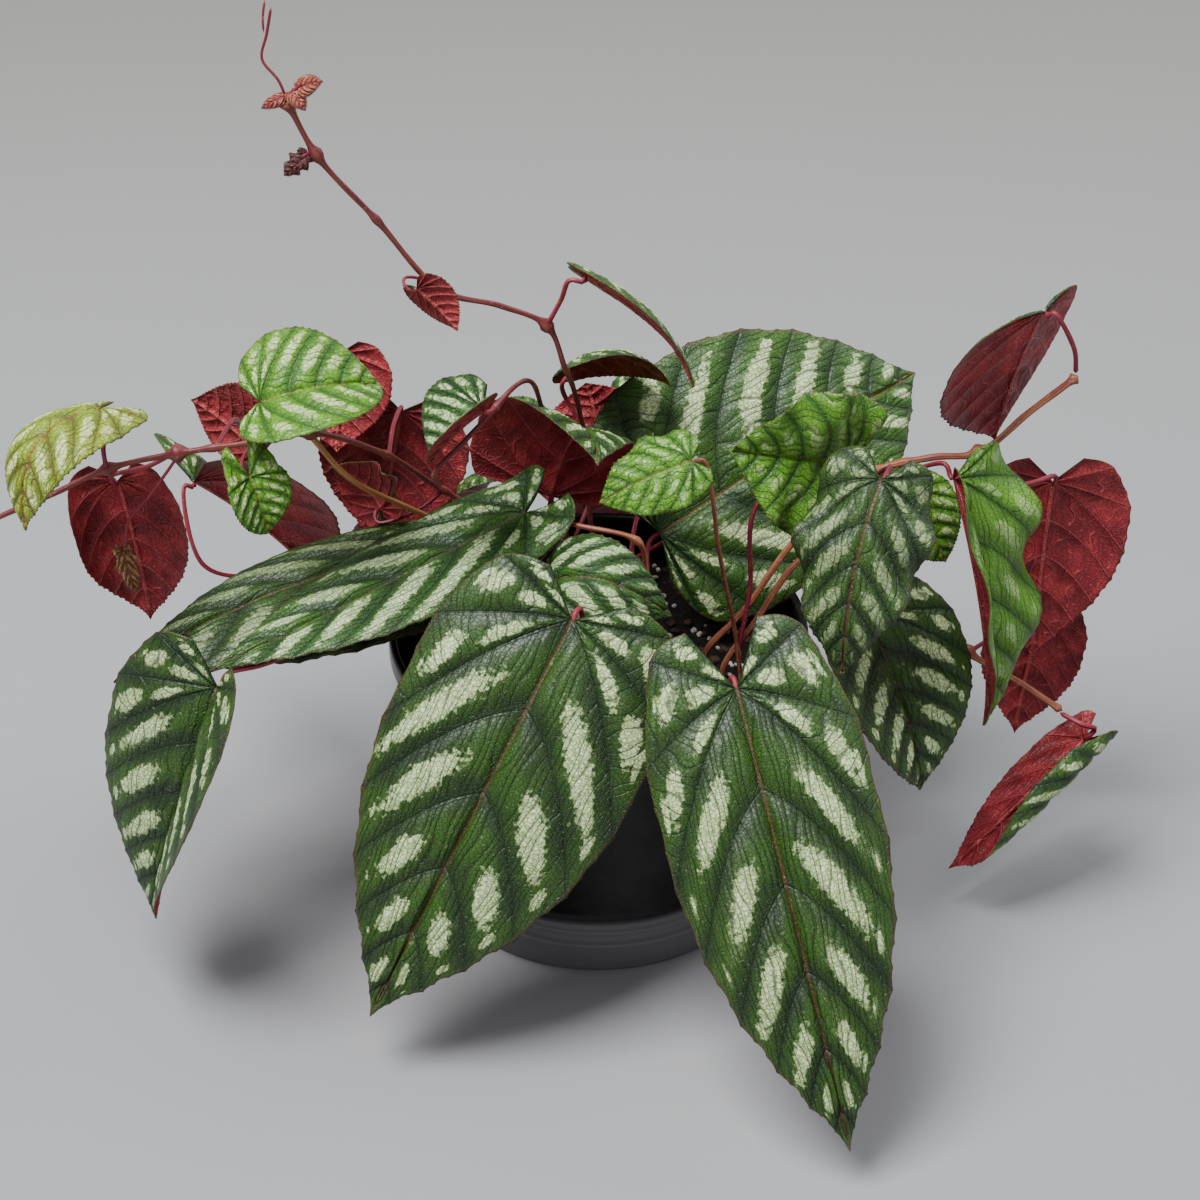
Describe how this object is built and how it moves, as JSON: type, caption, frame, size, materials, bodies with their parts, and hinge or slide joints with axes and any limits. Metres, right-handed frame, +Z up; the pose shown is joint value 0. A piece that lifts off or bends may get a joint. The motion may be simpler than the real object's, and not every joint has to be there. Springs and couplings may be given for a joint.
{
  "type": "potted foliage vine",
  "caption": "Trailing vine with heart-shaped, quilted, silver-marked leaves and maroon undersides, growing from soil in a round black nursery pot.",
  "frame": {"origin": "centre of the pot's flat underside, where it stands", "axes": "+Z up; the picture's camera looks along +Y, so -Y is the front of the plant; +X to the right of the picture"},
  "size_m": [0.4229, 0.3108, 0.3541],
  "materials": {
    "pot": "glossy black moulded plastic, duller on the stepped band at the foot",
    "soil": "dark, damp bark and peat mix with pale specks",
    "leaf_green": "satin, quilted, dark green with silver patches between the veins",
    "leaf_young": "satin, bright green with cream patches",
    "leaf_maroon": "satin, maroon underside with a raised net of veins",
    "vine": "smooth, orange-brown to red, streaked where it is woody",
    "leaf_stalk": "smooth crimson"
  },
  "bodies": {
    "root": {"pot": "pot", "soil": "soil", "stem_top": "vine", "stem_left": "vine", "stem_right": "vine", "stem_low_right": "vine", "stem_centre": "vine", "stem_front": "leaf_stalk", "stem_low_left": "leaf_stalk", "stem_striped": "leaf_stalk", "stem_back": "leaf_stalk", "stem_red_left": "leaf_stalk", "stem_crinkled": "vine", "leaf_front_left": "leaf_green", "leaf_front_right": "leaf_green", "leaf_left_striped": "leaf_green", "leaf_left_dark": "leaf_green", "leaf_low_left": "leaf_green", "leaf_far_left": "leaf_young", "leaf_red_hanging": "leaf_maroon", "leaf_red_left": "leaf_maroon", "leaf_red_behind": "leaf_maroon", "leaf_top_left": "leaf_young", "leaf_small_green": "leaf_young", "leaf_red_top": "leaf_maroon", "leaf_red_middle": "leaf_maroon", "leaf_crumpled": "leaf_maroon", "leaf_round_striped": "leaf_young", "leaf_folded_tip": "leaf_green", "leaf_maroon_small": "leaf_maroon", "leaf_crinkled": "leaf_young", "leaf_big_back": "leaf_green", "leaf_behind_right": "leaf_green", "leaf_arching": "leaf_green", "leaf_orange_under": "leaf_maroon", "leaf_maroon_back": "leaf_maroon", "leaf_green_back": "leaf_green", "leaf_right_bright": "leaf_young", "leaf_right_striped": "leaf_green", "leaf_right_dark": "leaf_green", "leaf_right_folded": "leaf_young", "leaf_right_small": "leaf_young", "leaf_red_heart": "leaf_maroon", "leaf_red_below": "leaf_maroon", "leaf_top_right": "leaf_maroon", "leaf_low_right": "leaf_maroon", "leaf_tiny_red": "leaf_maroon", "leaf_centre": "leaf_green", "leaf_back_middle": "leaf_green", "leaf_back_right": "leaf_green", "leaf_back_left": "leaf_green", "leaf_right_side": "leaf_green"}
  },
  "joints": []
}
